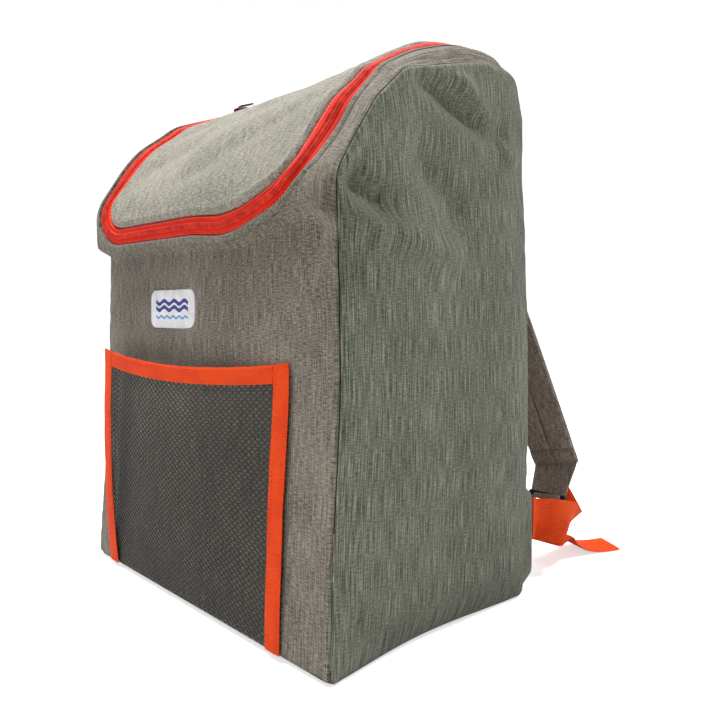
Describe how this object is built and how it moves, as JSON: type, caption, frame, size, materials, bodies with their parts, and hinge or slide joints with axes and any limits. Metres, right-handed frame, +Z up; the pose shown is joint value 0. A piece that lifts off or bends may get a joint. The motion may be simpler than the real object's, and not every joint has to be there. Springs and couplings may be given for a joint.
{
  "type": "cooler backpack",
  "caption": "Insulated cooler backpack: a box-shaped padded bag with a slanted zip lid, a mesh front pocket and two padded shoulder straps with webbing adjusters.",
  "frame": {"origin": "centre of the base, on the ground", "axes": "+Z up; the front with the pocket faces -Y; +X is on the right for someone looking at the front; the shoulder straps are at +Y"},
  "size_m": [0.3198, 0.3653, 0.4086],
  "materials": {
    "canvas": "heathered polyester canvas, warm grey",
    "zip_tape": "woven tape, orange-red",
    "zip_coil": "moulded coil, orange-red",
    "slider": "dark maroon enamel",
    "net": "black knitted net",
    "orange_tape": "woven binding and webbing, orange",
    "patch": "white, plain",
    "strap_canvas": "heathered polyester canvas, grey-brown in shade",
    "plastic": "moulded, black"
  },
  "bodies": {
    "root": {"front_panel": "canvas", "lid_panel": "canvas", "back_panel": "canvas", "base_panel": "canvas", "side_panel_left": "canvas", "side_panel_right": "canvas", "anchor_wing_left": "canvas", "anchor_wing_right": "canvas", "zip_tape_outer": "zip_tape", "zip_tape_inner": "zip_tape", "zip_coil": "zip_coil", "zip_slider": "slider", "zip_pull": "slider", "pocket_net": "net", "pocket_binding_left": "orange_tape", "pocket_binding_right": "orange_tape", "pocket_binding_top": "orange_tape", "front_patch": "patch", "shoulder_strap_left": "strap_canvas", "shoulder_strap_right": "strap_canvas", "strap_tab_left": "strap_canvas", "strap_tab_right": "strap_canvas", "strap_buckle_left": "plastic", "strap_buckle_right": "plastic", "webbing_loop_left": "orange_tape", "webbing_loop_right": "orange_tape", "webbing_tail_left": "orange_tape", "webbing_tail_right": "orange_tape"}
  },
  "joints": []
}
